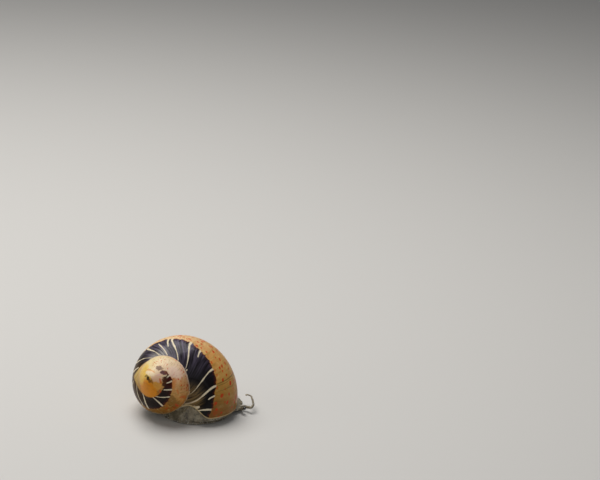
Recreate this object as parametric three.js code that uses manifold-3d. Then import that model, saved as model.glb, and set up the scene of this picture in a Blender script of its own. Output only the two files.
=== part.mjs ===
// Nerite snail at life size, resting on a flat floor with its head just out of the shell.
// Millimetres, +Z up, head along +X, floor at Z = 0. Positions are counted from the point
// under the shell's apex, and the last lines centre the whole animal over the origin.
import * as THREE from 'three';
import { mergeVertices } from 'three/addons/utils/BufferGeometryUtils.js';
import Module from 'manifold-3d';

const wasm = await Module();
wasm.setup();
const RAD = Math.PI / 180;

// Shell: an oval tube that winds round a leaning axis and grows by a constant factor a turn
const GROWTH = 2.1227;          // growth of every length in one turn
const TUBE_OUT = 8.05;          // half width of the oval away from the axis, at turn 0
const TUBE_ALONG = 7.29;        // half width of the oval along the axis, at turn 0
const TUBE_FROM_AXIS = 1.483;   // middle of the oval, away from the axis
const TUBE_BELOW_APEX = 13.08;  // middle of the oval, below the apex along the axis
const TUBE_TILT = -6.67 * RAD;  // turn of the oval in its own plane
const AXIS_HEADING = 220 * RAD; // the apex points back and to the animal's right
const AXIS_RISE = 25.14 * RAD;  // and this far up
const DROOP = 1.3;              // the last whorl comes away from its suture near the lip
const DROOP_FROM = -0.06;       // turn where the droop starts
const DROOP_FULL = 0.04;        // turn where it is complete
const LAST_TURN = 0.25;         // the tube points straight down here, under the aperture
const SPIRE_WHORLS = 3;         // whorls kept above the last one
const COLUMELLA_END = 20.0;     // foot of the columella, below the apex along the axis
const COLUMELLA_BLUNT = 1.2;    // its corner is rounded off by this much
const LOWEST_ANGLE = -80 * RAD; // the outline leaves the oval here at the latest
const LEAST_BASE = 15 * RAD;    // and not before this much of the oval shows
const SPIRE_SLOPE = 1.217;      // fall of the spire for each millimetre away from the axis
const WORN_RADIUS = 1.8;        // its tip is worn to a dome this round
const WORN_LIFT = 0.4;          // which is raised so that it runs on into the whorls round it
const WORN_WHOLE = 2.9;         // no groove is left nearer the axis than this
const WORN_OUT = 4.6;           // and beyond this nothing is worn

// Aperture, deck and posterior sinus
const LIP_CLEARANCE = 1.4;      // lip above the floor
const APERTURE_DEPTH = 7.85;    // lip plane below the apex
const SINUS_AT = [7.4, -0.1];   // notch in the lip under the end of the suture
const SINUS_RISE = 1.95;
const SINUS_REACH = 3.8;
const WALL_SHARE = 0.12;        // wall thickness as a share of the way to the aperture's middle
const APERTURE_MIDDLE = [10.9, 4.9];
const DECK_FROM_MIDDLE = 2.3;   // edge of the deck behind the aperture's middle
const DECK_HOLLOW = 1.0;        // the deck lies this far inside the lip plane
const RECESS_HEIGHT = 3.8;      // room for the body inside the shell
const GAP = 0.3;                // clearance between neighbours

// Flesh
const SOLE_MIDDLE = [10.5, 5.1];
const SOLE_HALF = [5.85, 5.5];
const SOLE_PROFILE = [[0, 0.93], [0.1, 0.985], [0.3, 1], [0.6, 0.965], [0.85, 0.9], [1.1, 0.8]];
const COLUMN_TOP = 1.75;
const FOOT_CUTS = [8.2, 12.4];  // where the sole is parted in three lengths
const HEAD_Y = 5.2;
const HEAD_FRONT = 17.4;
const EYE_RADIUS = 0.26;
const EYE_GAP = 0.12;

const apex = new THREE.Vector3(0, 0, APERTURE_DEPTH + LIP_CLEARANCE);
const axisUp = new THREE.Vector3(
  Math.cos(AXIS_HEADING) * Math.cos(AXIS_RISE),
  Math.sin(AXIS_HEADING) * Math.cos(AXIS_RISE),
  Math.sin(AXIS_RISE));
const acrossAxis = new THREE.Vector3(0, 0, 1).cross(axisUp).normalize();
const overAxis = axisUp.clone().cross(acrossAxis);

// Smooth step from 0 to 1
function ease(x) {
  const u = Math.min(Math.max(x, 0), 1);
  return u * u * (3 - 2 * u);
}

// Point of the tube's skin as [distance from the axis, height along it from the apex].
// Angle 0 is the outermost side, 90 degrees faces the apex and -90 degrees the base.
function tubePoint(turn, angle) {
  const out = TUBE_OUT * Math.cos(angle);
  const along = TUBE_ALONG * Math.sin(angle);
  const droop = DROOP * ease((turn - DROOP_FROM) / (DROOP_FULL - DROOP_FROM))
    * ease((angle / RAD - 40) / 35);
  const scale = GROWTH ** turn;
  return [
    scale * (TUBE_FROM_AXIS + out * Math.cos(TUBE_TILT) - along * Math.sin(TUBE_TILT)),
    scale * (-TUBE_BELOW_APEX + out * Math.sin(TUBE_TILT) + along * Math.cos(TUBE_TILT) - droop),
  ];
}

// Where a point lies on the oval of a given turn: its angle, and its size against the oval
function onOval(turn, [r, z]) {
  const scale = GROWTH ** turn;
  const x = r / scale - TUBE_FROM_AXIS;
  const y = z / scale + TUBE_BELOW_APEX;
  const out = (x * Math.cos(TUBE_TILT) + y * Math.sin(TUBE_TILT)) / TUBE_OUT;
  const along = (-x * Math.sin(TUBE_TILT) + y * Math.cos(TUBE_TILT)) / TUBE_ALONG;
  return { angle: Math.atan2(along, out), size: Math.hypot(along, out) };
}

// The suture: the angle where a whorl leaves the whorl before it, found by halving
function suture(turn) {
  let hidden = 130 * RAD;
  let open = 20 * RAD;
  for (let step = 0; step < 40; step++) {
    const middle = (hidden + open) / 2;
    if (onOval(turn - 1, tubePoint(turn, middle)).size < 1) hidden = middle;
    else open = middle;
  }
  return { upper: open, lower: onOval(turn - 1, tubePoint(turn, open)).angle };
}

// Angle where a straight line from the columella's foot touches the oval of a given turn
function leavingAngle(turn) {
  const { angle, size } = onOval(turn, [0, -COLUMELLA_END]);
  return Math.max(angle + Math.acos(Math.min(1 / size, 1)), LOWEST_ANGLE);
}

// The worn tip: near the axis the whorls give way to a dome, further out they come back
function worn([r, z]) {
  const dome = WORN_LIFT - SPIRE_SLOPE * Math.hypot(r, WORN_RADIUS);
  const share = 1 - ease((r - WORN_WHOLE) / (WORN_OUT - WORN_WHOLE));
  return [r, z + (dome - z) * share];
}

// Point in space at a turn round the axis, from its distance to the axis and its height
function roundAxis(turn, [r, z]) {
  const way = -2 * Math.PI * turn;
  return apex.clone()
    .addScaledVector(axisUp, z)
    .addScaledVector(acrossAxis, r * Math.cos(way))
    .addScaledVector(overAxis, r * Math.sin(way));
}

// Outline of the shell in the half plane at one turn, from the apex to the columella's foot
function shellOutline(turn, spireSteps, baseSteps, columellaSteps) {
  const points = [worn([0, 0])];
  for (let whorl = SPIRE_WHORLS; whorl >= 0; whorl--) {
    const start = suture(turn - whorl).upper;
    const covered = suture(Math.min(turn - whorl + 1, LAST_TURN)).lower;
    for (let k = whorl === SPIRE_WHORLS ? 0 : 1; k <= spireSteps; k++) {
      points.push(worn(tubePoint(turn - whorl, start + (covered - start) * k / spireSteps)));
    }
  }
  const covered = suture(Math.min(turn + 1, LAST_TURN)).lower;
  const leaving = Math.min(leavingAngle(turn), covered - LEAST_BASE);
  for (let k = 1; k <= baseSteps; k++) {
    points.push(tubePoint(turn, covered + (leaving - covered) * k / baseSteps));
  }
  // From there straight towards the columella's foot, with a lift that rounds its corner
  const [rEnd, zEnd] = tubePoint(turn, leaving);
  for (let k = 1; k <= columellaSteps; k++) {
    const way = k / columellaSteps;
    const lift = COLUMELLA_BLUNT * way ** 4;
    points.push([rEnd * (1 - way), zEnd - (COLUMELLA_END + zEnd) * way + lift]);
  }
  return points;
}

// The whole shell before the aperture is cut: outlines set round the axis for one turn,
// closed by a wall in the half plane where the last whorl ends over its own beginning
function shellBody(slices, spireSteps, baseSteps, columellaSteps) {
  const positions = [];
  const faces = [];
  const place = (turn, point) => {
    positions.push(...roundAxis(turn, point).toArray());
    return positions.length / 3 - 1;
  };
  const top = place(0, worn([0, 0]));
  const foot = place(0, [0, COLUMELLA_BLUNT - COLUMELLA_END]);
  const outlines = [];
  for (let slice = 0; slice <= slices; slice++) {
    const turn = LAST_TURN - 1 + slice / slices;
    const outline = shellOutline(turn, spireSteps, baseSteps, columellaSteps);
    outlines.push({ turn, outline, ids: [] });
  }
  for (const { turn, outline, ids } of outlines) {
    outline.forEach((point, k) => {
      if (k === 0) ids.push(top);
      else if (k === outline.length - 1) ids.push(foot);
      else ids.push(place(turn, point));
    });
  }
  const first = outlines[0];
  const last = outlines[slices];
  // The first outline's whorls are the last one's, one whorl further in
  for (let k = 1; k <= SPIRE_WHORLS * spireSteps + 1; k++) last.ids[k] = first.ids[k + spireSteps];
  const triangle = (a, b, c) => {
    if (a !== b && b !== c && c !== a) faces.push(a, b, c);
  };
  for (let slice = 0; slice < slices; slice++) {
    const a = outlines[slice].ids;
    const b = outlines[slice + 1].ids;
    for (let k = 0; k + 1 < a.length; k++) {
      triangle(a[k], a[k + 1], b[k + 1]);
      triangle(a[k], b[k + 1], b[k]);
    }
  }
  for (let k = 1; k <= spireSteps; k++) triangle(top, first.ids[k + 1], first.ids[k]);
  const shared = (SPIRE_WHORLS + 1) * spireSteps + 1;
  const wall = [];
  for (let k = shared; k < first.ids.length; k++) wall.push([first.ids[k], first.outline[k]]);
  for (let k = last.ids.length - 2; k >= shared - spireSteps + 1; k--) {
    wall.push([last.ids[k], last.outline[k]]);
  }
  const contour = wall.map(([, [r, z]]) => new THREE.Vector2(r, z));
  const turned = THREE.ShapeUtils.isClockWise(contour);
  for (const [a, b, c] of THREE.ShapeUtils.triangulateShape(contour, [])) {
    if (turned) triangle(wall[a][0], wall[b][0], wall[c][0]);
    else triangle(wall[a][0], wall[c][0], wall[b][0]);
  }
  return closedSolid(positions, faces);
}

// Solid from points and triangles, with its faces turned out
function closedSolid(positions, faces) {
  const build = (list) => new wasm.Manifold(new wasm.Mesh({
    numProp: 3,
    vertProperties: new Float32Array(positions),
    triVerts: new Uint32Array(list),
  }));
  const solid = build(faces);
  if (solid.volume() > 0) return solid;
  return build(faces.flatMap((_, k) => (k % 3 ? [] : [faces[k], faces[k + 2], faces[k + 1]])));
}

// Solid from a three.js geometry, placed by a matrix
function toSolid(geometry, matrix = new THREE.Matrix4()) {
  const bare = geometry.clone().applyMatrix4(matrix);
  bare.deleteAttribute('normal');
  bare.deleteAttribute('uv');
  const merged = mergeVertices(bare, 1e-5);
  return closedSolid(Array.from(merged.attributes.position.array), Array.from(merged.index.array));
}

// Geometry of a solid's largest closed surface
function toGeometry(solid) {
  const pieces = solid.decompose();
  const largest = pieces.reduce((a, b) => (a.volume() > b.volume() ? a : b));
  const mesh = largest.getMesh();
  const geometry = new THREE.BufferGeometry();
  geometry.setAttribute('position', new THREE.BufferAttribute(new Float32Array(mesh.vertProperties), 3));
  geometry.setIndex(new THREE.BufferAttribute(new Uint32Array(mesh.triVerts), 1));
  geometry.computeVertexNormals();
  return geometry;
}

function block(low, high) {
  const size = high.map((value, k) => value - low[k]);
  const middle = high.map((value, k) => (value + low[k]) / 2);
  return toSolid(new THREE.BoxGeometry(...size), new THREE.Matrix4().makeTranslation(...middle));
}

// Everything in front of an upright wall along the deck's edge, moved on by `ahead`
function inFrontOfDeck(ahead, zLow, zHigh) {
  const reach = 30;
  const shift = -DECK_FROM_MIDDLE + ahead;
  const slab = new THREE.BoxGeometry(reach * 2, reach, zHigh - zLow);
  slab.translate(0, -reach / 2 - shift, (zHigh + zLow) / 2);
  slab.rotateZ(AXIS_HEADING - Math.PI);
  slab.translate(...APERTURE_MIDDLE, 0);
  return toSolid(slab);
}

// The shell's body shrunk towards the middle of the aperture
function shrunkBody(body, share) {
  const scale = 1 - share;
  const [x, y] = APERTURE_MIDDLE;
  const centre = [x, y, LIP_CLEARANCE];
  return body.translate(centre.map((value) => -value)).scale(scale).translate(centre);
}

// What is left of a hollow when its upright walls close in by the gap
function clearOfWalls(hollow) {
  return [[GAP, 0], [-GAP, 0], [0, GAP], [0, -GAP]].reduce(
    (room, [x, y]) => room.intersect(hollow.translate([x, y, 0])), hollow);
}

// A closed tube through rings of points, with rounded or flat ends closed by a fan
function loft(rings) {
  const positions = rings.flat(2);
  const count = rings[0].length;
  const faces = [];
  for (let ring = 0; ring + 1 < rings.length; ring++) {
    for (let k = 0; k < count; k++) {
      const next = (k + 1) % count;
      const a = ring * count + k;
      const b = ring * count + next;
      const c = (ring + 1) * count + next;
      const d = (ring + 1) * count + k;
      faces.push(a, b, c, a, c, d);
    }
  }
  const close = (ring, turned) => {
    const middle = [0, 1, 2].map((axis) => rings[ring].reduce((sum, p) => sum + p[axis], 0) / count);
    positions.push(...middle);
    const centre = positions.length / 3 - 1;
    for (let k = 0; k < count; k++) {
      const a = ring * count + k;
      const b = ring * count + (k + 1) % count;
      if (turned) faces.push(a, b, centre);
      else faces.push(b, a, centre);
    }
  };
  close(0, false);
  close(rings.length - 1, true);
  return closedSolid(positions, faces);
}

// Ring of points across +X: rounded box of the given half width and half height
function crossRing(x, y, z, halfWidth, halfHeight, count = 28, squareness = 2.4) {
  const ring = [];
  for (let k = 0; k < count; k++) {
    const way = 2 * Math.PI * k / count;
    const c = Math.cos(way);
    const s = Math.sin(way);
    ring.push([x,
      y + halfWidth * Math.sign(c) * Math.abs(c) ** (2 / squareness),
      z + halfHeight * Math.sign(s) * Math.abs(s) ** (2 / squareness)]);
  }
  return ring;
}

// Thread along a smooth curve, between two shares of its length, tapering to its round tip
const ROUND_END = 0.93;
const FRAMES = 200;
function thread(points, from, to, rootRadius, tipRadius, steps, sides = 10) {
  const curve = new THREE.CatmullRomCurve3(points.map((p) => new THREE.Vector3(...p)));
  const frames = curve.computeFrenetFrames(FRAMES, false);
  const rings = [];
  for (let step = 0; step <= steps; step++) {
    const share = from + (to - from) * step / steps;
    const centre = curve.getPointAt(share);
    const frame = Math.round(share * FRAMES);
    const intoEnd = Math.max(share - ROUND_END, 0) / (1 - ROUND_END);
    const endShare = to === 1 ? Math.sqrt(Math.max(1 - intoEnd ** 2, 0.04)) : 1;
    const radius = (rootRadius + (tipRadius - rootRadius) * share) * endShare;
    const ring = [];
    for (let k = 0; k < sides; k++) {
      const way = 2 * Math.PI * k / sides;
      const point = centre.clone()
        .addScaledVector(frames.normals[frame], radius * Math.cos(way))
        .addScaledVector(frames.binormals[frame], radius * Math.sin(way));
      ring.push(point.toArray());
    }
    rings.push(ring);
  }
  return loft(rings);
}

const model = new THREE.Group();

function add(name, solid, colour, roughness) {
  const material = new THREE.MeshStandardMaterial({ color: colour, roughness, metalness: 0 });
  const mesh = new THREE.Mesh(toGeometry(solid), material);
  mesh.name = name;
  model.add(mesh);
}

// Shell: body, aperture, sinus, recess for the animal and the hollow of the deck
const SHELL_SLICES = 64;
const SPIRE_STEPS = 5;
const BASE_STEPS = 14;
const COLUMELLA_STEPS = 6;
const SHELL_COLOUR = 0xb8874e;
const FLESH_COLOUR = 0x6a665c;
const OPERCULUM_COLOUR = 0x8a7f6a;
const EYE_COLOUR = 0x0a0a0a;
const body = shellBody(SHELL_SLICES, SPIRE_STEPS, BASE_STEPS, COLUMELLA_STEPS);
// The wall stays thick along the end of the suture, where the outside is creased inwards
const CALLUS_TURNS = [-0.1, -0.05, 0, 0.05, 0.1, 0.15, 0.2, 0.25];
const CALLUS_RADIUS = 0.9;
const CALLUS_STEPS = 14;
const callus = thread(
  CALLUS_TURNS.map((turn) => roundAxis(turn, tubePoint(turn, suture(turn).upper)).toArray()),
  0, 1, CALLUS_RADIUS, CALLUS_RADIUS, CALLUS_STEPS);
const inner = shrunkBody(body, WALL_SHARE).subtract(callus);
const SINUS_STEPS = 7;
const sinusProfile = [];
for (let k = 0; k <= SINUS_STEPS; k++) {
  const way = k / SINUS_STEPS;
  sinusProfile.push(new THREE.Vector2(SINUS_REACH * way, SINUS_RISE * (1 - way * way) ** 2));
}
sinusProfile.reverse();
sinusProfile.unshift(new THREE.Vector2(0, -1), new THREE.Vector2(SINUS_REACH, -1));
const sinus = toSolid(
  new THREE.LatheGeometry(sinusProfile, 24).rotateX(Math.PI / 2),
  new THREE.Matrix4().makeTranslation(...SINUS_AT, LIP_CLEARANCE));
const recess = inner.intersect(inFrontOfDeck(0, -5, LIP_CLEARANCE + RECESS_HEIGHT));
const fleshRoom = clearOfWalls(recess);
const deckHollow = inner
  .subtract(inFrontOfDeck(2 * GAP, -6, 30))
  .intersect(block([-5, -5, -5], [25, 25, LIP_CLEARANCE + DECK_HOLLOW]));
const shell = body
  .subtract(block([-20, -20, -20], [40, 40, LIP_CLEARANCE]))
  .subtract(sinus)
  .subtract(recess)
  .subtract(deckHollow);
add('shell', shell, SHELL_COLOUR, 0.3);

// Head: from the neck inside the aperture, under the lip, to the face that carries the feelers
const HEAD_STATIONS = [
  [13.2, 3.0, 0.75, 1.9], [14.0, 2.2, 0.85, 2.2], [14.7, 1.4, 0.7, 2.5],
  [15.3, 0.82, 0.46, 2.75], [16.0, 0.67, 0.4, 2.95], [17.1, 0.7, 0.42, 3.05],
  [HEAD_FRONT - 0.08, 0.7, 0.42, 3.05], [HEAD_FRONT, 0.7, 0.36, 2.98],
];
function headSolid(extra) {
  return loft(HEAD_STATIONS.map(([x, z, halfHeight, halfWidth], k) => {
    const end = k === 0 ? -extra : 0;
    return crossRing(x + end, HEAD_Y, z, halfWidth + extra, halfHeight + extra);
  }));
}
const head = headSolid(0);
const headRoom = headSolid(GAP);

// Mantle: the flesh that fills the recess and shows as a rim inside the lip
const mantle = fleshRoom
  .intersect(inFrontOfDeck(GAP, COLUMN_TOP + GAP, LIP_CLEARANCE + RECESS_HEIGHT - GAP))
  .subtract(headRoom);
add('mantle', mantle, FLESH_COLOUR, 0.5);

// Foot: an oval sole with a thin wavy margin, and the column that goes up through the aperture
const SOLE_SIDES = 48;
const SOLE_WAVE = 0.012;
function soleRing(height, share) {
  const ring = [];
  for (let k = 0; k < SOLE_SIDES; k++) {
    const way = 2 * Math.PI * k / SOLE_SIDES;
    const wave = 1 + SOLE_WAVE * Math.sin(5 * way);
    ring.push([SOLE_MIDDLE[0] + SOLE_HALF[0] * share * wave * Math.cos(way),
      SOLE_MIDDLE[1] + SOLE_HALF[1] * share * wave * Math.sin(way), height]);
  }
  return ring;
}
const column = fleshRoom.intersect(inFrontOfDeck(GAP, 0.8, COLUMN_TOP));
const foot = loft(SOLE_PROFILE.map(([height, share]) => soleRing(height, share)))
  .add(column)
  .subtract(headRoom);
const cuts = [-10, ...FOOT_CUTS, 40];
['foot_rear', 'foot_middle', 'foot_front'].forEach((name, k) => {
  const length = block([cuts[k] + GAP / 2, -20, -1], [cuts[k + 1] - GAP / 2, 30, 5]);
  add(name, foot.intersect(length), FLESH_COLOUR, 0.5);
});
add('head', head, FLESH_COLOUR, 0.5);

// Operculum: a half-moon plate carried on the back of the foot, under the deck
const OPERCULUM_MIDDLE = [5.68, 6.65];
const OPERCULUM_LENGTH = 8.2;
const OPERCULUM_WIDTH = 4.0;
const OPERCULUM_THICKNESS = 0.55;
const OPERCULUM_EDGE = 0.1;     // bevel round the plate
const plateOutline = new THREE.Shape();
plateOutline.absellipse(0, 0, OPERCULUM_LENGTH / 2, OPERCULUM_WIDTH, 0, Math.PI, false);
plateOutline.closePath();
const plate = new THREE.ExtrudeGeometry(plateOutline, {
  depth: OPERCULUM_THICKNESS - 2 * OPERCULUM_EDGE, bevelEnabled: true,
  bevelThickness: OPERCULUM_EDGE, bevelSize: OPERCULUM_EDGE, bevelSegments: 1, curveSegments: 24,
});
plate.translate(0, -OPERCULUM_WIDTH / 2, OPERCULUM_EDGE);
plate.rotateZ(AXIS_HEADING - Math.PI);
plate.translate(...OPERCULUM_MIDDLE, LIP_CLEARANCE);
add('operculum', toSolid(plate).intersect(clearOfWalls(deckHollow)), OPERCULUM_COLOUR, 0.35);

// Snout: broad and two-lobed, parted by the line of the mouth
const SNOUT_STATIONS = [
  [HEAD_FRONT + GAP, 0.68, 0.42, 1.12], [17.95, 0.68, 0.5, 1.2], [18.25, 0.66, 0.5, 1.16],
  [18.5, 0.62, 0.42, 0.95], [18.62, 0.58, 0.26, 0.62],
];
const mouth = block([18.2, HEAD_Y - 1.0, 0.4], [19, HEAD_Y + 1.0, 0.52]);
const cleft = block([18.4, HEAD_Y - 0.08, 0.52], [19, HEAD_Y + 0.08, 1.3]);
const snout = loft(SNOUT_STATIONS.map(([x, z, halfHeight, halfWidth]) =>
  crossRing(x, HEAD_Y, z, halfWidth, halfHeight))).subtract(mouth).subtract(cleft);
add('snout', snout, FLESH_COLOUR, 0.5);

// Feelers, eye stalks and eyes grow from the flat front of the head
const FEELER_ROOT_Y = 1.72;
const STALK_ROOT_Y = 2.62;
const ROOT_Z = 0.72;
const FEELER_ROOT_RADIUS = 0.32;
const FEELER_TIP_RADIUS = 0.24;
const FEELER_LENGTH = 7;        // about, to set the cut between its two lengths
const STALK_LENGTH = 0.55;
const STALK_AIM = [0.2, 0.85, 0.42];
const STALK_RADII = [0.28, 0.25];
const FEELERS = {
  right: [[18.35, 3.2, 0.76], [18.85, 2.55, 0.85], [19.2, 2.1, 1.0], [19.55, 2.3, 1.2],
    [19.85, 3.1, 1.45], [20.05, 4.1, 1.6], [20.0, 4.85, 1.75], [19.65, 5.2, 1.85],
    [19.25, 4.9, 1.85]],
  left: [[18.35, 7.25, 0.76], [18.8, 8.05, 0.84], [18.85, 9.0, 0.95], [18.55, 10.0, 1.05],
    [17.95, 10.9, 1.1], [17.25, 11.6, 1.1]],
};
for (const [side, points] of Object.entries(FEELERS)) {
  const sign = side === 'right' ? -1 : 1;
  const route = [[HEAD_FRONT + GAP, HEAD_Y + sign * FEELER_ROOT_Y, ROOT_Z], ...points];
  const halfGap = GAP / 2 / FEELER_LENGTH;
  add(`tentacle_${side}_base`,
    thread(route, 0, 0.5 - halfGap, FEELER_ROOT_RADIUS, FEELER_TIP_RADIUS, 10), FLESH_COLOUR, 0.5);
  add(`tentacle_${side}_tip`,
    thread(route, 0.5 + halfGap, 1, FEELER_ROOT_RADIUS, FEELER_TIP_RADIUS, 12), FLESH_COLOUR, 0.5);
  const root = new THREE.Vector3(HEAD_FRONT + GAP, HEAD_Y + sign * STALK_ROOT_Y, ROOT_Z);
  const aim = new THREE.Vector3(STALK_AIM[0], sign * STALK_AIM[1], STALK_AIM[2]).normalize();
  const stalkEnd = root.clone().addScaledVector(aim, STALK_LENGTH);
  const stalk = [root, root.clone().addScaledVector(aim, STALK_LENGTH / 2), stalkEnd];
  add(`eye_stalk_${side}`,
    thread(stalk.map((p) => p.toArray()), 0, 0.999, ...STALK_RADII, 4), FLESH_COLOUR, 0.5);
  const eye = stalkEnd.clone().addScaledVector(aim, EYE_RADIUS + EYE_GAP);
  add(`eye_${side}`, toSolid(new THREE.SphereGeometry(EYE_RADIUS, 14, 9),
    new THREE.Matrix4().makeTranslation(...eye.toArray())), EYE_COLOUR, 0.1);
}

// The middle of the animal's box stands over the origin
const box = new THREE.Box3().setFromObject(model);
const middle = box.getCenter(new THREE.Vector3());
model.position.set(-middle.x, -middle.y, 0);
model.updateMatrixWorld(true);

export default model;
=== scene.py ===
# %% [markdown]
# A nerite snail at life size
#
# The animal carries a round, right-coiled shell about 17 mm long. This scene dresses its solid
# model: it makes a fine shell surface with the coloured pattern, one skin over all the soft
# parts, the eyes and the plate that shuts the shell, and sets them on a pale floor.
# Everything is in metres in the frame of the solid model, so each piece goes where its solid is.

# %% Load the solid model
import math

import bmesh
import bpy
import numpy as np
from mathutils import Matrix, Vector


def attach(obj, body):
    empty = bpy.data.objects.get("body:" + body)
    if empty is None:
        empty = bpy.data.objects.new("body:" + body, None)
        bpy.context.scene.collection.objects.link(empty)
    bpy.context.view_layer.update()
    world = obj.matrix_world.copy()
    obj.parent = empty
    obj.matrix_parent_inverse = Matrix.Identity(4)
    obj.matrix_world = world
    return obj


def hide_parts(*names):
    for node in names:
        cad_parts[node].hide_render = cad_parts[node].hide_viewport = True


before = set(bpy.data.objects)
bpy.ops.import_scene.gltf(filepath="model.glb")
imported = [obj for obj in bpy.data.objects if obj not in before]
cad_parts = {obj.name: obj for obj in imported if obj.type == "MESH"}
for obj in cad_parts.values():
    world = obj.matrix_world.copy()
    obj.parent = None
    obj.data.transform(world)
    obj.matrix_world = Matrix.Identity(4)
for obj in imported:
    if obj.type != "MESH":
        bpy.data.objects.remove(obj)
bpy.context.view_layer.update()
print("nodes:", sorted(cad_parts))

# %% [markdown]
# Measures of the shell
#
# A snail builds its shell as an oval tube that winds round an axis and grows by the same factor
# each turn. The same few numbers describe the solid model, so the fine surface made from them
# lies on it. Lengths are in millimetres and counted from the point under the apex, because that
# is how a shell is measured; the mesh helper below turns them into metres.

# %% Measures of the shell
MM = 0.001
UNDER_APEX = np.array([-10.325, -5.393, 0.0])
GROWTH = 2.1227
TUBE_OUT = 8.05
TUBE_ALONG = 7.29
TUBE_FROM_AXIS = 1.483
TUBE_BELOW_APEX = 13.08
TUBE_TILT = math.radians(-6.67)
AXIS_HEADING = math.radians(220)
AXIS_RISE = math.radians(25.14)
DROOP = 1.3
DROOP_FROM = -0.06
DROOP_FULL = 0.04
DROOP_ANGLE, DROOP_SPAN = 40, 35
LAST_TURN = 0.25
SPIRE_WHORLS = 3
COLUMELLA_END = 20.0
COLUMELLA_BLUNT = 1.2
LOWEST_ANGLE = math.radians(-80)
LEAST_BASE = math.radians(15)
SPIRE_SLOPE = 1.217
WORN_RADIUS = 1.8
WORN_LIFT = 0.4
WORN_WHOLE = 2.9
WORN_OUT = 4.6
LIP_CLEARANCE = 1.4
APERTURE_DEPTH = 7.85

APEX = np.array([0.0, 0.0, APERTURE_DEPTH + LIP_CLEARANCE])
AXIS_UP = np.array([
    math.cos(AXIS_HEADING) * math.cos(AXIS_RISE),
    math.sin(AXIS_HEADING) * math.cos(AXIS_RISE),
    math.sin(AXIS_RISE),
])
ACROSS_AXIS = np.cross([0.0, 0.0, 1.0], AXIS_UP)
ACROSS_AXIS /= np.linalg.norm(ACROSS_AXIS)
OVER_AXIS = np.cross(AXIS_UP, ACROSS_AXIS)
print("apex at", (APEX + UNDER_APEX).round(3), "mm")

# %% [markdown]
# The camera
#
# The animal is seen from its right and a little behind, from above, and it stands low and left
# in the frame. Turning the camera puts it there; a lens shift would do it too, but the
# perspective would then lean. So the camera's basis is the direction in which the animal is
# seen, turned by the small angle between the animal's pixel and the middle of the frame.

# %% Camera
FRAME_WIDTH, FRAME_HEIGHT = 600, 480
LENS, SENSOR = 100.0, 36.0
SEEN_ALONG = np.array([0.31922, 0.85635, -0.40591])
SEEN_RIGHT = np.array([0.94398, -0.32515, 0.05640])
SEEN_UP = np.array([0.08368, 0.40117, 0.91217])
MM_PER_PIXEL = 0.159
APEX_PIXEL = np.array([145.965, 376.307])
AIM_PIXEL = np.array([184.0, 376.0])
AIM_DEPTH = 4.0


def camera_matrix():
    """Place of the camera: it looks along SEEN_ALONG at the point seen at AIM_PIXEL, from the
    distance that gives MM_PER_PIXEL there, turned so that the point falls on its pixel."""
    focal = LENS / SENSOR * FRAME_WIDTH
    step = (AIM_PIXEL - APEX_PIXEL) * MM_PER_PIXEL
    aim = APEX + UNDER_APEX + step[0] * SEEN_RIGHT - step[1] * SEEN_UP + AIM_DEPTH * SEEN_ALONG
    eye = aim - focal * MM_PER_PIXEL * SEEN_ALONG
    ray = Vector((
        (AIM_PIXEL[0] - FRAME_WIDTH / 2) / focal,
        -(AIM_PIXEL[1] - FRAME_HEIGHT / 2) / focal,
        -1.0,
    )).normalized()
    turn = ray.rotation_difference(Vector((0, 0, -1))).to_matrix()
    basis = Matrix([SEEN_RIGHT, SEEN_UP, -SEEN_ALONG]).transposed() @ turn
    return Matrix.Translation(Vector(eye * MM)) @ basis.to_4x4()


camera_data = bpy.data.cameras.new("camera")
camera_data.lens = LENS
camera_data.sensor_width = SENSOR
camera_data.clip_start = 0.01
camera = bpy.data.objects.new("camera", camera_data)
bpy.context.scene.collection.objects.link(camera)
camera.matrix_world = camera_matrix()
bpy.context.scene.camera = camera
print("camera at", tuple(round(c, 4) for c in camera.location))

# %% [markdown]
# Floor and light
#
# A plain pale floor and soft lights, as for a museum picture. The large key light hangs above
# and a little behind, where it puts a broad sheen on the top of the shell and lets its lower
# side fall into shade; two weak lights keep that shade open. The plain Standard view shows the
# colours as they are mixed.

# %% Floor and light
FLOOR_HALF = 0.6


def link(obj):
    bpy.context.scene.collection.objects.link(obj)
    return obj


def new_material(name, inputs):
    """A material with even values on the named inputs of its shader."""
    material = bpy.data.materials.new(name)
    material.use_nodes = True
    for socket, value in inputs.items():
        material.node_tree.nodes["Principled BSDF"].inputs[socket].default_value = value
    return material


floor_mesh = bpy.data.meshes.new("floor")
corners = [(x * FLOOR_HALF, y * FLOOR_HALF, 0) for x, y in ((-1, -1), (1, -1), (1, 1), (-1, 1))]
floor_mesh.from_pydata(corners, [], [(0, 1, 2, 3)])
floor_mesh.materials.append(
    new_material("pale_floor", {"Base Color": (0.60, 0.59, 0.57, 1), "Roughness": 0.7}))
floor = link(bpy.data.objects.new("floor", floor_mesh))


def soft_light(name, place, size, power, colour):
    """A square area light at a place, turned to the middle of the animal."""
    data = bpy.data.lights.new(name, "AREA")
    data.shape = "SQUARE"
    data.size = size
    data.energy = power
    data.color = colour
    light = link(bpy.data.objects.new(name, data))
    light.location = place
    light.rotation_euler = (Vector((0, 0, 0.005)) - Vector(place)).to_track_quat("-Z", "Y").to_euler()
    return light


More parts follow.
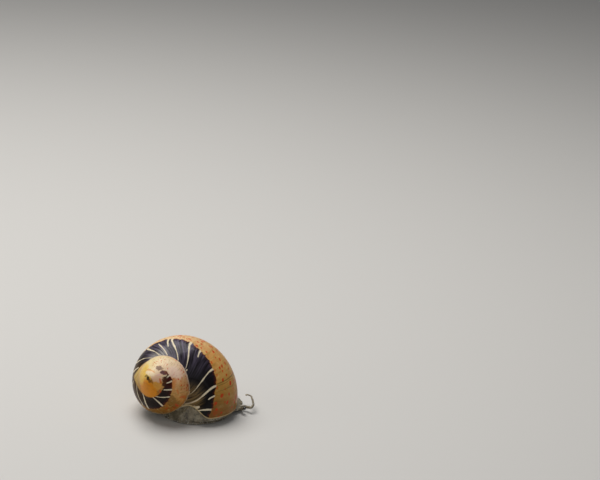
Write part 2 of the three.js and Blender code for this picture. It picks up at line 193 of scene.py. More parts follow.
soft_light("key_light", (-0.05, 0.10, 0.30), 0.26, 1.12, (1.0, 0.98, 0.95))
soft_light("fill_light", (-0.10, -0.32, 0.22), 0.34, 0.16, (0.95, 0.97, 1.0))
soft_light("side_light", (-0.34, 0.00, 0.16), 0.24, 0.12, (1.0, 0.97, 0.92))
world = bpy.data.worlds.new("studio")
bpy.context.scene.world = world
world.use_nodes = True
background = world.node_tree.nodes["Background"]
background.inputs["Color"].default_value = (0.78, 0.80, 0.83, 1)
background.inputs["Strength"].default_value = 0.14
bpy.context.scene.view_settings.view_transform = "Standard"
print("floor and", len(bpy.data.lights), "lights")

# %% [markdown]
# The tube and its sutures
#
# Each cut through the axis shows the same oval at every size. Turns are counted from the side of
# the shell, negative towards the apex, and the angle goes round the oval: 0 is its outermost
# side, 90 degrees faces the apex. A whorl covers part of the one before it, and the line where
# it leaves it is the suture, found here by halving, for all turns at once.

# %% The tube and its sutures
def ease(x):
    """Smooth step from 0 to 1."""
    u = np.clip(x, 0, 1)
    return u * u * (3 - 2 * u)


def droop(turn, angle):
    """How far the upper side of the tube comes down towards the lip, at size 1."""
    return (DROOP * ease((turn - DROOP_FROM) / (DROOP_FULL - DROOP_FROM))
            * ease((np.degrees(angle) - DROOP_ANGLE) / DROOP_SPAN))


def tube_point(turn, angle):
    """Distance from the axis and height along it of a point of the tube's skin: an oval,
    tilted, moved off the axis and grown by GROWTH ** turn."""
    out = TUBE_OUT * np.cos(angle)
    along = TUBE_ALONG * np.sin(angle)
    size = GROWTH ** turn
    r = out * math.cos(TUBE_TILT) - along * math.sin(TUBE_TILT) + TUBE_FROM_AXIS
    z = out * math.sin(TUBE_TILT) + along * math.cos(TUBE_TILT) - TUBE_BELOW_APEX
    return size * r, size * (z - droop(turn, angle))


def on_oval(turn, r, z):
    """The reverse: the angle of a point on the oval of a turn, and its size against that oval."""
    size = GROWTH ** turn
    x = r / size - TUBE_FROM_AXIS
    y = z / size + TUBE_BELOW_APEX
    out = (x * math.cos(TUBE_TILT) + y * math.sin(TUBE_TILT)) / TUBE_OUT
    along = (y * math.cos(TUBE_TILT) - x * math.sin(TUBE_TILT)) / TUBE_ALONG
    return np.arctan2(along, out), np.hypot(along, out)


HIDDEN_ANGLE, SHOWN_ANGLE = math.radians(130), math.radians(20)
HALVINGS = 40


def suture(turn):
    """Angles where a whorl leaves the whorl before it, on the new whorl and on the old one."""
    hidden = np.full_like(turn, HIDDEN_ANGLE)
    shown = np.full_like(turn, SHOWN_ANGLE)
    for _ in range(HALVINGS):
        middle = (hidden + shown) / 2
        inside = on_oval(turn - 1, *tube_point(turn, middle))[1] < 1
        hidden = np.where(inside, middle, hidden)
        shown = np.where(inside, shown, middle)
    return shown, on_oval(turn - 1, *tube_point(turn, shown))[0]


upper, lower = suture(np.array([-1.0, -0.5, 0.0]))
print("suture at", np.degrees(upper).round(1), "on the new whorl,", np.degrees(lower).round(1))

# %% [markdown]
# The body of the shell
#
# The outline of the shell in one half plane runs from the worn apex over each whorl to the
# underside, and then straight to the foot of the columella. One turn of such outlines closes on
# itself, one whorl further in. This gives a closed body like the uncut solid. Round the axis the
# oldest whorls of a living snail are worn away, so there a blunt dome takes their place.

# %% The body of the shell
def worn(spire):
    """Near the axis the whorls give way to a dome, a cone of SPIRE_SLOPE with a round tip, whose
    share falls from 1 to 0 with the distance. On the dome an outline never turns back towards
    the axis, so the creases between the whorls are closed there."""
    r, z = spire[..., 0], spire[..., 1]
    share = 1 - ease((r - WORN_WHOLE) / (WORN_OUT - WORN_WHOLE))
    r = r + (np.maximum.accumulate(r, 1) - r) * share
    dome = WORN_LIFT - SPIRE_SLOPE * np.hypot(r, WORN_RADIUS)
    return np.stack([r, z + (dome - z) * share], -1)


def outlines(turn, spire_steps, base_steps, columella_steps):
    """Outlines as rows of points, each given by its distance from the axis and height along it."""
    rows = [np.zeros((len(turn), 1, 2))]
    for whorl in range(SPIRE_WHORLS, -1, -1):
        start = suture(turn - whorl)[0][:, None]
        end = suture(np.minimum(turn - whorl + 1, LAST_TURN))[1][:, None]
        first = 0 if whorl == SPIRE_WHORLS else 1
        way = np.arange(first, spire_steps + 1) / spire_steps
        rows.append(np.stack(tube_point((turn - whorl)[:, None], start + (end - start) * way), -1))
    rows = [worn(np.concatenate(rows, 1))]
    start = suture(np.minimum(turn + 1, LAST_TURN))[1][:, None]
    foot_angle, foot_size = on_oval(turn, 0.0, -COLUMELLA_END)
    leaving = np.maximum(foot_angle + np.arccos(np.minimum(1 / foot_size, 1)), LOWEST_ANGLE)
    leaving = np.minimum(leaving[:, None], start - LEAST_BASE)
    way = np.arange(1, base_steps + 1) / base_steps
    rows.append(np.stack(tube_point(turn[:, None], start + (leaving - start) * way), -1))
    way = np.arange(1, columella_steps + 1) / columella_steps
    r_end, z_end = tube_point(turn[:, None], leaving)
    lift = COLUMELLA_BLUNT * way ** 4
    rows.append(np.stack([r_end * (1 - way), z_end - (COLUMELLA_END + z_end) * way + lift], -1))
    return np.concatenate(rows, 1)


def place_round_axis(around, r, z):
    """Points in space from the turn round the axis, distance from it and height along it."""
    way = -2 * np.pi * around
    return (APEX + AXIS_UP * z[..., None]
            + ACROSS_AXIS * (r * np.cos(way))[..., None]
            + OVER_AXIS * (r * np.sin(way))[..., None])


def new_piece(name, points, faces, smooth=True):
    """A mesh object from points in millimetres under the apex and a list of faces."""
    mesh = bpy.data.meshes.new(name)
    mesh.from_pydata(((points + UNDER_APEX) * MM).tolist(), [], faces)
    mesh.update()
    if smooth:
        mesh.shade_smooth()
    return link(bpy.data.objects.new(name, mesh))


def grid_faces(rows, columns):
    """Quads of a grid of points, row by row, closed across the columns."""
    row = np.arange(rows - 1)[:, None] * columns
    column = np.arange(columns)[None, :]
    after = (column + 1) % columns
    quads = np.stack([row + column, row + after, row + columns + after, row + columns + column], -1)
    return quads.reshape(-1, 4)


def shell_body(name, slices, spire_steps, base_steps, columella_steps):
    """The closed body: a grid of outlines round the axis, and the wall under the last whorl."""
    around = np.linspace(LAST_TURN - 1, LAST_TURN, slices + 1)
    grid = outlines(around, spire_steps, base_steps, columella_steps)
    columns = grid.shape[1]
    points = place_round_axis(around[:, None], grid[..., 0], grid[..., 1])
    ids = np.arange(points.shape[0] * columns).reshape(-1, columns)
    shared = SPIRE_WHORLS * spire_steps + 1
    ids[-1, 1:shared + 1] = ids[0, 1 + spire_steps:shared + 1 + spire_steps]
    ids[:, 0] = ids[0, 0]
    ids[:, -1] = ids[0, -1]
    quads = np.stack([ids[:-1, :-1], ids[:-1, 1:], ids[1:, 1:], ids[1:, :-1]], -1).reshape(-1, 4)
    faces = [q for q in map(lambda q: list(dict.fromkeys(q)), quads.tolist()) if len(q) > 2]
    tip = [int(ids[0, 0])] + ids[0, 1:spire_steps + 2].tolist()
    faces.append(tip[::-1])
    wall = ids[0, shared + spire_steps:].tolist() + ids[-1, shared + 1:-1][::-1].tolist()
    faces.append(wall[::-1])
    return new_piece(name, points.reshape(-1, 3), faces)


JOINED = 0.002


def tidy_closed(piece):
    """Joins points nearer than JOINED and turns the faces of a closed mesh outwards."""
    bm = bmesh.new()
    bm.from_mesh(piece.data)
    bmesh.ops.remove_doubles(bm, verts=bm.verts, dist=JOINED * MM)
    bmesh.ops.recalc_face_normals(bm, faces=bm.faces)
    open_edges = sum(not edge.is_manifold for edge in bm.edges)
    bm.to_mesh(piece.data)
    bm.free()
    print(piece.name, len(piece.data.polygons), "faces,", open_edges, "open edges")
    return piece


shell = shell_body("nerite_shell", slices=260, spire_steps=80, base_steps=32, columella_steps=12)
tidy_closed(shell)

# %% [markdown]
# The aperture
#
# The mouth of the shell lies flat over the ground. Above it is the room that the animal fills,
# and behind that the deck, the flat shelf that half closes the mouth of every nerite. A notch in
# the lip lies under the end of the suture. All are cut from the closed body with one Boolean.
# The room is the body shrunk towards the middle of the mouth, and it is shrunk least at the lip,
# so the lip is thin as on the real shell. A tube round the end of the suture is taken out of the
# room first, because the outside is creased inwards there and the wall would break through.

# %% The aperture
SINUS_AT = (7.4, -0.1)
SINUS_RISE = 1.95
SINUS_REACH = 3.8
WALL_SHARE = 0.12
LIP_SHARE = 0.045
LIP_FLARE = 1.6
APERTURE_MIDDLE = np.array([10.9, 4.9, LIP_CLEARANCE])
DECK_FROM_MIDDLE = 2.3
DECK_HOLLOW = 1.0
RECESS_HEIGHT = 3.8
CALLUS_RADIUS = 0.9
CALLUS_FROM = -0.1
CALLUS_DOME_STEPS = 4


def box_piece(name, low, high, heading=0.0, about=(0.0, 0.0)):
    """A box between two corners, turned by a heading about a point on the ground."""
    points = np.array([[x, y, z] for z in (low[2], high[2]) for y in (low[1], high[1])
                       for x in (low[0], high[0])], float)
    turn = np.array([[math.cos(heading), -math.sin(heading)], [math.sin(heading), math.cos(heading)]])
    points[:, :2] = points[:, :2] @ turn.T + about
    faces = [(0, 2, 3, 1), (4, 5, 7, 6), (0, 1, 5, 4), (2, 6, 7, 3), (0, 4, 6, 2), (1, 3, 7, 5)]
    return new_piece(name, points, faces, smooth=False)


def full_turn(count):
    return np.linspace(0, 2 * np.pi, count, endpoint=False)


def loft_surface(rings):
    """Points and faces of a closed tube through rings of points, with a point at each end."""
    rows, columns = rings.shape[:2]
    points = np.concatenate([rings.reshape(-1, 3), rings[:1].mean(1), rings[-1:].mean(1)])
    faces = grid_faces(rows, columns).tolist()
    first, last = rows * columns, rows * columns + 1
    start = (rows - 1) * columns
    for k in range(columns):
        after = (k + 1) % columns
        faces.append([after, k, first])
        faces.append([start + k, start + after, last])
    return points, faces


def bell_piece(name, rings, sides):
    """The notch's bell: its height falls from the middle as (1 - share of the reach squared)
    squared, and it is closed by a flat floor below the lip."""
    share = np.linspace(1, 0, rings + 1)[:-1, None]
    way = full_turn(sides)
    bell = np.stack([SINUS_AT[0] + SINUS_REACH * share * np.cos(way),
                     SINUS_AT[1] + SINUS_REACH * share * np.sin(way),
                     LIP_CLEARANCE + SINUS_RISE * (1 - share ** 2) ** 2 + 0 * way], -1)
    points, faces = loft_surface(np.concatenate([bell[:1] - [0, 0, 1], bell]))
    points[-1] = [*SINUS_AT, LIP_CLEARANCE + SINUS_RISE]
    return new_piece(name, points, faces)


def apply_modifiers(piece):
    bpy.context.view_layer.update()
    view = bpy.context.evaluated_depsgraph_get()
    piece.data = bpy.data.meshes.new_from_object(piece.evaluated_get(view), depsgraph=view)
    piece.modifiers.clear()
    print(piece.name, len(piece.data.polygons), "faces")


def boolean(piece, cutters, operation):
    """Applies one Boolean to a piece for each cutter and deletes the cutters."""
    for cutter in cutters:
        modifier = piece.modifiers.new("cut", "BOOLEAN")
        modifier.operation = operation
        modifier.solver = "MANIFOLD"
        modifier.object = cutter
    apply_modifiers(piece)
    for cutter in cutters:
        bpy.data.objects.remove(cutter)
    return piece


def read_values(items, name, kind=np.int32, width=1):
    """One property of all points, corners or faces of a mesh, as an array."""
    values = np.empty(len(items) * width, kind)
    items.foreach_get(name, values)
    return values


def read_places(items, name="co"):
    """Places of a mesh's points or faces, as they are stored."""
    return read_values(items, name, np.float32, 3).reshape(-1, 3).astype(float)


def move_points(mesh, points):
    """Moves a mesh's points to places in millimetres under the apex."""
    mesh.vertices.foreach_set("co", ((points + UNDER_APEX) * MM).astype(np.float32).ravel())
    mesh.update()


def shrink_to_mouth(piece, slack):
    """Shrinks the body towards the middle of the mouth: by WALL_SHARE high up, less at the lip,
    and by a slack on top of that."""
    points = read_places(piece.data.vertices) / MM - UNDER_APEX
    above = np.maximum(points[:, 2:] - LIP_CLEARANCE, 0)
    share = WALL_SHARE + (LIP_SHARE - WALL_SHARE) * np.exp(-(above / LIP_FLARE) ** 2) + slack
    move_points(piece.data, APERTURE_MIDDLE + (points - APERTURE_MIDDLE) * (1 - share))
    return piece


def rings_along(path, radius, sides, up):
    """Rings of points square to a path, each set out from a side that is square to up."""
    ahead = np.gradient(path, axis=0)
    ahead /= np.linalg.norm(ahead, axis=1, keepdims=True)
    side = np.cross(ahead, up)
    side /= np.linalg.norm(side, axis=1, keepdims=True)
    over = np.cross(side, ahead)
    way = full_turn(sides)
    ring = side[:, None] * np.cos(way)[:, None] + over[:, None] * np.sin(way)[:, None]
    return path[:, None] + ring * radius[:, None, None]


def callus_piece(name, widest, steps, sides):
    """A tube with a domed end round the last part of the suture: circles square to its path."""
    turn = np.linspace(CALLUS_FROM, LAST_TURN, steps)
    path = place_round_axis(turn, *tube_point(turn, suture(turn)[0]))
    radius = widest * np.sqrt(np.clip((np.arange(steps) + 0.3) / CALLUS_DOME_STEPS, 0, 1))
    points = rings_along(path, radius, sides, AXIS_UP).reshape(-1, 3)
    faces = grid_faces(steps, sides).tolist()
    faces += [list(range(sides)), list(range((steps - 1) * sides, steps * sides))[::-1]]
    return new_piece(name, points, faces)


def front_room(name, bottom, top):
    """Everything in front of the deck's edge, between two heights."""
    return box_piece(name, (-60, -30 + DECK_FROM_MIDDLE, bottom), (60, DECK_FROM_MIDDLE, top),
                     AXIS_HEADING - math.pi, APERTURE_MIDDLE[:2])


def mouth_room(name, slack, rooms):
    """The shrunk body without the callus, inside the given rooms."""
    body = shell_body(name, slices=200, spire_steps=10, base_steps=14, columella_steps=6)
    body = tidy_closed(shrink_to_mouth(body, slack))
    callus = callus_piece(name + "_callus", CALLUS_RADIUS + 5 * slack, steps=40, sides=20)
    body = boolean(body, [tidy_closed(callus)], "DIFFERENCE")
    return boolean(body, rooms, "INTERSECT")


low = box_piece("low_room", (-5, -5, -5), (25, 25, LIP_CLEARANCE + DECK_HOLLOW))
room = boolean(front_room("front_room", -5, LIP_CLEARANCE + RECESS_HEIGHT), [low], "UNION")
inner = mouth_room("mouth_room", 0, [room])
ground = box_piece("ground_room", (-40, -40, -40), (50, 50, LIP_CLEARANCE))
notch = tidy_closed(bell_piece("notch", rings=24, sides=64))
for cutter in (inner, ground, notch):
    layer = cutter.data.attributes.new("cut", "FLOAT", "FACE")
    layer.data.foreach_set("value", np.ones(len(cutter.data.polygons), np.float32))
boolean(shell, [ground, notch, inner], "DIFFERENCE")
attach(shell, "root")
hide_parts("shell")

# %% [markdown]
# The whorl that each face lies on
#
# The pattern follows two numbers: the turn, which says how old the shell is at a place, and the
# angle round the tube. Both are worked out from the place itself. A face lies on the whorl whose
# oval it fits best, and its corners count their turn from that. The values go on the corners of
# the faces and not on the points, so they jump cleanly from whorl to whorl at the suture.

# %% The whorl that each face lies on
def round_axis(points):
    """The reverse of place_round_axis: turn from -0.5 to 0.5, distance and height."""
    from_apex = points - APEX
    x, y, z = from_apex @ ACROSS_AXIS, from_apex @ OVER_AXIS, from_apex @ AXIS_UP
    return -np.arctan2(y, x) / (2 * np.pi), np.hypot(x, y), z


def on_tube(turn, r, z):
    """Angle and size on the tube with its droop: the droop is put back, and the angle found
    again, a few times over."""
    angle, size = on_oval(turn, r, z)
    for _ in range(4):
        angle, size = on_oval(turn, r, z + GROWTH ** turn * droop(turn, angle))
    return angle, size


NO_FIT = 9.0


def corner_turns(mesh):
    """Turn and angle in degrees at every corner of every face of the shell."""
    around, r, z = round_axis(read_places(mesh.polygons, "center") / MM - UNDER_APEX)
    face_turn, misfit = around, np.full_like(around, NO_FIT)
    for back in range(SPIRE_WHORLS + 2):
        turn = around - back
        off = np.where(turn < LAST_TURN + 0.01, np.abs(on_tube(turn, r, z)[1] - 1), NO_FIT)
        face_turn = np.where(off < misfit, turn, face_turn)
        misfit = np.minimum(off, misfit)
    around, r, z = round_axis(read_places(mesh.vertices) / MM - UNDER_APEX)
    corner = read_values(mesh.loops, "vertex_index")
    turn = around[corner]
    face_turn = np.repeat(face_turn, read_values(mesh.polygons, "loop_total"))
    turn = turn + np.round(face_turn - turn)
    return turn, np.degrees(on_tube(turn, r[corner], z[corner])[0])


turn, angle = corner_turns(shell.data)
print("turns", turn.min().round(2), "to", turn.max().round(2))

# %% [markdown]
# Where the pattern lies
#
# The mantle lays the colours down at the lip, so the pale lines and the dark blocks follow the
# old lips. Each pale line is given by the turn where it starts, at the outer edge of the dark
# band, and the turn where it reaches the suture; between them it bends as the lip does. The
# lines are chosen one by one. What the shader needs is put on the corners: how deep a place lies
# inside the dark band, how far it is to either side of the nearest pale line, and a map with
# millimetres along and across growth. A distance with a sign is straight across its line, so the
# line stays smooth on a coarser mesh; two sets of lines, taken in turn, keep neighbours apart.

# %% Where the pattern lies
LEAN = 0.098
LEAN_FROM, LEAN_SPAN, LEAN_POWER = 38.0, 34.0, 1.6
LOWER_LEAN = 0.00096
TURN_TO_MM = 34.0
ANGLE_TO_MM = 0.132
PALE_LINES = [
    # start turn, end turn, lowest angle, highest angle, half width at the start, at the end
    (-1.190, -1.130, 50, 80, 0.20, 0.22), (-1.100, -1.045, 50, 80, 0.12, 0.14),
    (-1.040, -0.985, 45, 80, 0.08, 0.10), (-0.968, -0.909, 45, 80, 0.10, 0.10),
    (-0.920, -0.783, 40, 80, 0.09, 0.09), (-0.824, -0.755, 36, 80, 0.09, 0.09),
    (-0.718, -0.635, 28, 77, 0.09, 0.10), (-0.679, -0.465, 26, 62, 0.08, 0.10),
    (-0.560, -0.470, 26, 48, 0.09, 0.04), (-0.503, -0.435, 28, 60, 0.08, 0.10),
    (-0.460, -0.356, 28, 80, 0.08, 0.07),
    (-0.385, -0.302, 30, 80, 0.09, 0.06), (-0.335, -0.250, 45, 80, 0.09, 0.06),
    (-0.292, -0.2385, 30, 56, 0.10, 0.05), (-0.277, -0.176, 30, 80, 0.13, 0.09),
    (-0.204, -0.109, 30, 74, 0.13, 0.06), (-0.150, -0.097, 71, 80, 0.02, 0.14),
    (-0.158, -0.050, 30, 50, 0.13, 0.02), (-0.083, 0.021, 36, 80, 0.11, 0.06),
    (-0.028, 0.082, 36, 80, 0.12, 0.17), (0.002, 0.120, 30, 49, 0.11, 0.03),
    (0.038, 0.097, 57, 65, 0.14, 0.20), (0.046, 0.120, 30, 80, 0.09, 0.11),
]
BAND_OUTER = [(-1.25, 78), (-1.22, 66), (-1.17, 64), (-1.13, 66), (-1.03, 57), (-0.97, 54), (-0.91, 49),
              (-0.85, 43.5), (-0.79, 38), (-0.70, 33), (-0.60, 31.5), (-0.475, 32.5),
              (-0.40, 36), (-0.34, 38.5), (-0.27, 37), (-0.21, 36), (-0.19, 39), (-0.14, 40),
              (-0.08, 38), (-0.03, 40), (0.02, 41), (0.06, 39)]
BAND_INNER = [(-1.25, 77), (-0.92, 78), (-0.87, 73), (-0.80, 69), (-0.74, 67), (-0.65, 65),
              (-0.60, 62), (-0.555, 58), (-0.525, 50), (-0.49, 60), (-0.45, 66), (-0.39, 74),
              (-0.34, 78), (0.20, 78)]


def lip_lean(angle, amount=LEAN):
    """How far a lip of the past lies ahead of its own start, in turns, at each angle."""
    upper_part = amount * (np.maximum(angle - LEAN_FROM, 0) / LEAN_SPAN) ** LEAN_POWER
    return np.where(angle > LEAN_FROM, upper_part, LOWER_LEAN * (angle - LEAN_FROM))


def nearest_line(turn, angle, lines):
    """Distance in millimetres, with its sign, to the middle of the nearest line, and the half
    width of that line there, which falls below 0 past its ends and where no line is near."""
    start, end, lowest, highest, wide, narrow = np.array(lines).T[:, :, None]
    away = (turn - start - lip_lean(angle, end - start)) * TURN_TO_MM * GROWTH ** turn
    beyond = np.maximum(np.maximum(lowest - angle, angle - highest), 0) * ANGLE_TO_MM
    along = np.clip((angle - LEAN_FROM) / LEAN_SPAN, 0, 1.2)
    half = wide + (narrow - wide) * along - 2.5 * beyond
    distance = np.abs(away) + 3 * beyond
    pick = np.argmin(distance, 0)[None]
    two = np.partition(distance, 1, 0)[:2]
    clear = two[0] < 0.35 * two.sum(0)
    return np.take_along_axis(away, pick, 0)[0], np.where(clear, np.take_along_axis(half, pick, 0)[0], -1)


def suture_distance(turn, angle):
    """Distance in millimetres from the suture, on the new whorl and on the old one."""
    knots = np.linspace(-1.5, LAST_TURN, 150)
    on_new, on_old = np.degrees(suture(knots))
    above = np.interp(turn, knots, on_new) - angle
    below = np.where(turn < LAST_TURN - 1, angle - np.interp(turn + 1, knots, on_old), 99)
    return np.minimum(above, below) * ANGLE_TO_MM * GROWTH ** turn


def rim_height(points):
    """Height over the cut edge of the lip, or over the notch where that stands higher."""
    reach = np.hypot(points[:, 0] - SINUS_AT[0], points[:, 1] - SINUS_AT[1]) / SINUS_REACH
    bell = np.where(reach < 1, SINUS_RISE * (1 - reach ** 2) ** 2, 0.0)
    return points[:, 2] - LIP_CLEARANCE - bell


millimetre = ANGLE_TO_MM * GROWTH ** turn
points = read_places(shell.data.vertices) / MM - UNDER_APEX
corner_values = {
    "turn": turn,
    "angle": angle,
    "band": (angle - np.interp(turn, *zip(*BAND_OUTER))) * millimetre,
    "band_top": (np.interp(turn, *zip(*BAND_INNER)) - angle) * millimetre,
    "seam": suture_distance(turn, angle),
    "rim": rim_height(points)[read_values(shell.data.loops, "vertex_index")],
}
for number, lines in enumerate((PALE_LINES[::2], PALE_LINES[1::2])):
    away, half = nearest_line(turn, angle, lines)
    corner_values[f"line_{number}"] = away
    corner_values[f"line_half_{number}"] = half
for name, values in corner_values.items():
    layer = shell.data.attributes.new(name, "FLOAT", "CORNER")
    layer.data.foreach_set("value", values.astype(np.float32))
growth_map = np.stack([(turn - lip_lean(angle)) * TURN_TO_MM, angle * ANGLE_TO_MM], -1)
shell.data.uv_layers.new(name="growth").data.foreach_set("uv", growth_map.astype(np.float32).ravel())
print(len(PALE_LINES), "pale lines; turns and angles on", len(turn), "corners")

# %% [markdown]
# Node helpers
#
# A material is a net of nodes, and written out each node takes several lines. Here the output of
# a node is wrapped as a Value, so sums and products of values add the nodes that work them out,
# and short functions add a smooth step between two numbers, a mix of two colours, noise, a ramp
# and the rest.

# %% Node helpers
def colour(red, green, blue):
    """A colour given as on a screen, 0 to 255, turned into the linear values the shader reads."""
    values = np.array([red, green, blue]) / 255
    linear = np.where(values <= 0.04045, values / 12.92, ((values + 0.055) / 1.055) ** 2.4)
    return (*linear.tolist(), 1)


class Value:
    """An output of a node in a material's tree. Arithmetic with it adds nodes."""

    def __init__(self, tree, socket):
        self.tree = tree
        self.socket = socket

    def output(self, name):
        return Value(self.tree, self.socket.node.outputs[name])

    def math(self, operation, *others):
        inputs = dict(enumerate((self, *others)))
        return new_node(self.tree, "Math", "Value", inputs, operation=operation)

    def __add__(self, other):
        return self.math("ADD", other)

    def __sub__(self, other):
        return self.math("SUBTRACT", other)

    def __mul__(self, other):
        return self.math("MULTIPLY", other)

    def __abs__(self):
        return self.math("ABSOLUTE")


def new_node(tree, kind, output, inputs, **settings):
    """Adds a node with its settings, links or sets its inputs, and returns one of its outputs."""
    node = tree.nodes.new("ShaderNode" + kind)
    for name, setting in settings.items():
        setattr(node, name, setting)
    for name, value in inputs.items():
        if isinstance(value, Value):
            tree.links.new(value.socket, node.inputs[name])
        else:
            node.inputs[name].default_value = value
    return Value(tree, node.outputs[output])


def position(tree):
    return new_node(tree, "TexCoord", "Object", {})


def growth_place(tree):
    return new_node(tree, "UVMap", "UV", {}, uv_map="growth")


def stored(tree, name):
    """A value that was put on the corners of the shell."""
    return new_node(tree, "Attribute", "Fac", {}, attribute_name=name)


def scaled(vector, scale):
    return new_node(vector.tree, "Mapping", "Vector", {"Vector": vector, "Scale": scale})


def part(vector, name):
    return new_node(vector.tree, "SeparateXYZ", name, {"Vector": vector})


def length(vector):
    return new_node(vector.tree, "VectorMath", "Value", {0: vector}, operation="LENGTH")


def shaken(vector, scale, amount):
    """A vector moved about by noise, so that what is drawn with it loses its even outline."""
    moves = new_node(vector.tree, "TexNoise", "Color", {"Vector": vector, "Scale": scale})
    inputs = {0: moves, 1: (2 * amount,) * 3, 2: vector}
    return new_node(vector.tree, "VectorMath", "Vector", inputs, operation="MULTIPLY_ADD")


def noise(vector, scale, detail=2.0, roughness=0.5):
    """Noise around 0, about -1 to 1."""
    inputs = {"Vector": vector, "Scale": scale, "Detail": detail, "Roughness": roughness}
    return new_node(vector.tree, "TexNoise", "Fac", inputs) * 4.0 - 2.0


def step(value, low, high):
    """0 below low, 1 above high, smooth between; low may be the larger one."""
    inputs = {"Value": value, "From Min": low, "From Max": high}
    return new_node(value.tree, "MapRange", "Result", inputs, interpolation_type="SMOOTHSTEP")


def mix(share, first, second, kind="RGBA"):
    """What lies between two colours, or two numbers with FLOAT as the kind."""
    inputs = {"Factor": share, "A": first, "B": second}
    return new_node(share.tree, "Mix", "Result", inputs, data_type=kind)


def ramp(value, stops):
    """The colour at a value among stops (value, red, green, blue), which are in rising order."""
    low, high = stops[0][0], stops[-1][0]
    inputs = {"Value": value, "From Min": low, "From Max": high}
    share = new_node(value.tree, "MapRange", "Result", inputs)
    tone = new_node(value.tree, "ValToRGB", "Color", {"Fac": share})
    points = tone.socket.node.color_ramp.elements
    while len(points) < len(stops):
        points.new(0.5)
    for point, (at, *shade) in zip(points, stops):
        point.position = (at - low) / (high - low)
        point.color = colour(*shade)
    return tone


def bump(height, distance, strength):
    inputs = {"Height": height, "Distance": distance, "Strength": strength}
    return new_node(height.tree, "Bump", "Normal", inputs)


def patterned(name, pattern, inputs):
    """A material with even values on some inputs of its shader. The others get the values that
    the pattern, a function, makes in the node tree."""
    material = new_material(name, inputs)
    tree = material.node_tree
    for socket, value in pattern(tree).items():
        tree.links.new(value.socket, tree.nodes["Principled BSDF"].inputs[socket])
    return material


# %% [markdown]
# The ground of the shell
#
# Under the dark band the shell is peach on top, tan at the side and olive towards the lip. On the
# old spire the colour goes by the side of the shell: cream above, pink at the front, orange and
# olive below. These tones are partly the shell's own colour and partly painted light: the upper
# sides are paler as a painted top light, the lower sides darker as painted shade, and near the
# lip, which faces down, a deep brown is painted shade. So the ground is one ramp along the turns
# that repeats before the last whorl, with softer blotches, and streaks along the growth lines,
# which noise stretched across growth gives.

# %% The ground of the shell
def ground_tone(turn, growth, streaks):
    old = turn.math("WRAP", LAST_TURN - 1, LAST_TURN - 2)
    on_last = turn.math("GREATER_THAN", LAST_TURN - 1)
    # The stops are partly the shell's colour and partly painted light: paler where a whorl faces up,
    # darker where it faces down, and darkest towards the lip as painted shade.
    tone = ramp(mix(on_last, old, turn, "FLOAT"), [
        (-1.75, 160, 104, 14), (-1.62, 208, 150, 48), (-1.48, 226, 194, 104),
        (-1.36, 232, 214, 164), (-1.24, 228, 208, 170), (-1.12, 232, 202, 172),
        (-1.00, 212, 160, 106), (-0.92, 196, 144, 78), (-0.85, 140, 88, 22),
        (-0.75, 132, 88, 12), (-0.60, 170, 124, 48), (-0.50, 206, 178, 112),
        (-0.40, 222, 178, 118), (-0.28, 232, 198, 154), (-0.14, 206, 158, 96),
        (0.00, 200, 150, 68), (0.09, 158, 96, 20), (0.17, 104, 56, 6), (0.25, 76, 38, 2)])
    blotch = noise(position(turn.tree), 330.0)
    patchy = noise(scaled(growth, (1.5, 0.7, 1.0)), 1.3, 4.0, 0.65)
    tone = mix(step(blotch, -0.1, 1.0) * 0.4, tone, colour(214, 134, 44))
    yellow = step(patchy, 0.0, -0.9) * (step(turn, 0.14, 0.0) * 0.25 + 0.25)
    tone = mix(yellow, tone, colour(232, 206, 134))
    tone = mix(step(patchy, 0.15, 1.0) * 0.6, tone, colour(186, 104, 38))
    tone = mix(step(streaks, -0.1, 0.9) * 0.45, tone, colour(140, 118, 48))
    # Painted shade: the ground turns deep brown towards the lip, which faces down into shade.
    return mix(step(turn, -0.07, 0.05) * 0.55, tone, colour(84, 40, 2))


# %% [markdown]
# Flecks and halts
#
# Small red flecks are strewn over the ground, larger towards the lip. They are cells scattered
# on the growth map, each with its own size, some left out, and their outlines are shaken by
# noise. A few thin greenish lines mark where growth halted.

# %% Flecks and halts
FLECK_STRETCH = 1.5
FLECK_SHARE = 0.8
FLECK_RED = colour(200, 52, 8)
HALTS = [(-1.15, 0.11), (-0.93, 0.05), (-0.35, 0.04)]
HALT_GREEN = colour(92, 78, 34)


def fleck_mask(growth, scale, smallest, spread):
    """1 on the flecks: inside a circle round the middle of its cell, where the cell has one.
    The map is short along growth at the side of the last whorl, so it is drawn out there."""
    growth = scaled(growth, (FLECK_STRETCH, 1, 1))
    inputs = {"Vector": shaken(growth, 2.6, 0.20), "Scale": scale}
    away = new_node(growth.tree, "TexVoronoi", "Distance", inputs, voronoi_dimensions="2D")
    drawn = new_node(growth.tree, "SeparateColor", "Red", {"Color": away.output("Color")})
    radius = drawn.output("Green") * spread + smallest + noise(growth, 4.5, 3.0, 0.6) * 0.07
    there = drawn.math("LESS_THAN", FLECK_SHARE)
    return step(radius - away, -0.05, 0.10) * there * (drawn.output("Blue") * 0.3 + 0.65)


def halt_mask(growth, fine):
    """1 on the halts, lines of even growth at a few places, each with its half width."""
    along = part(growth, "X") + fine * 0.05
    mask = 0.0
    for at, width in HALTS:
        mask = step(abs(along - at), width, 0.0).math("MAXIMUM", mask)
    return mask


# %% [markdown]
# The worn spire
#
# The oldest part has lost its glaze. It is a patchwork: a dark pit at the very tip, chalky white
# and pink round it, bare orange below. Each patch is an oval in millimetres from the axis, read
# from Object coordinates through a Mapping node that stands the axis upright.

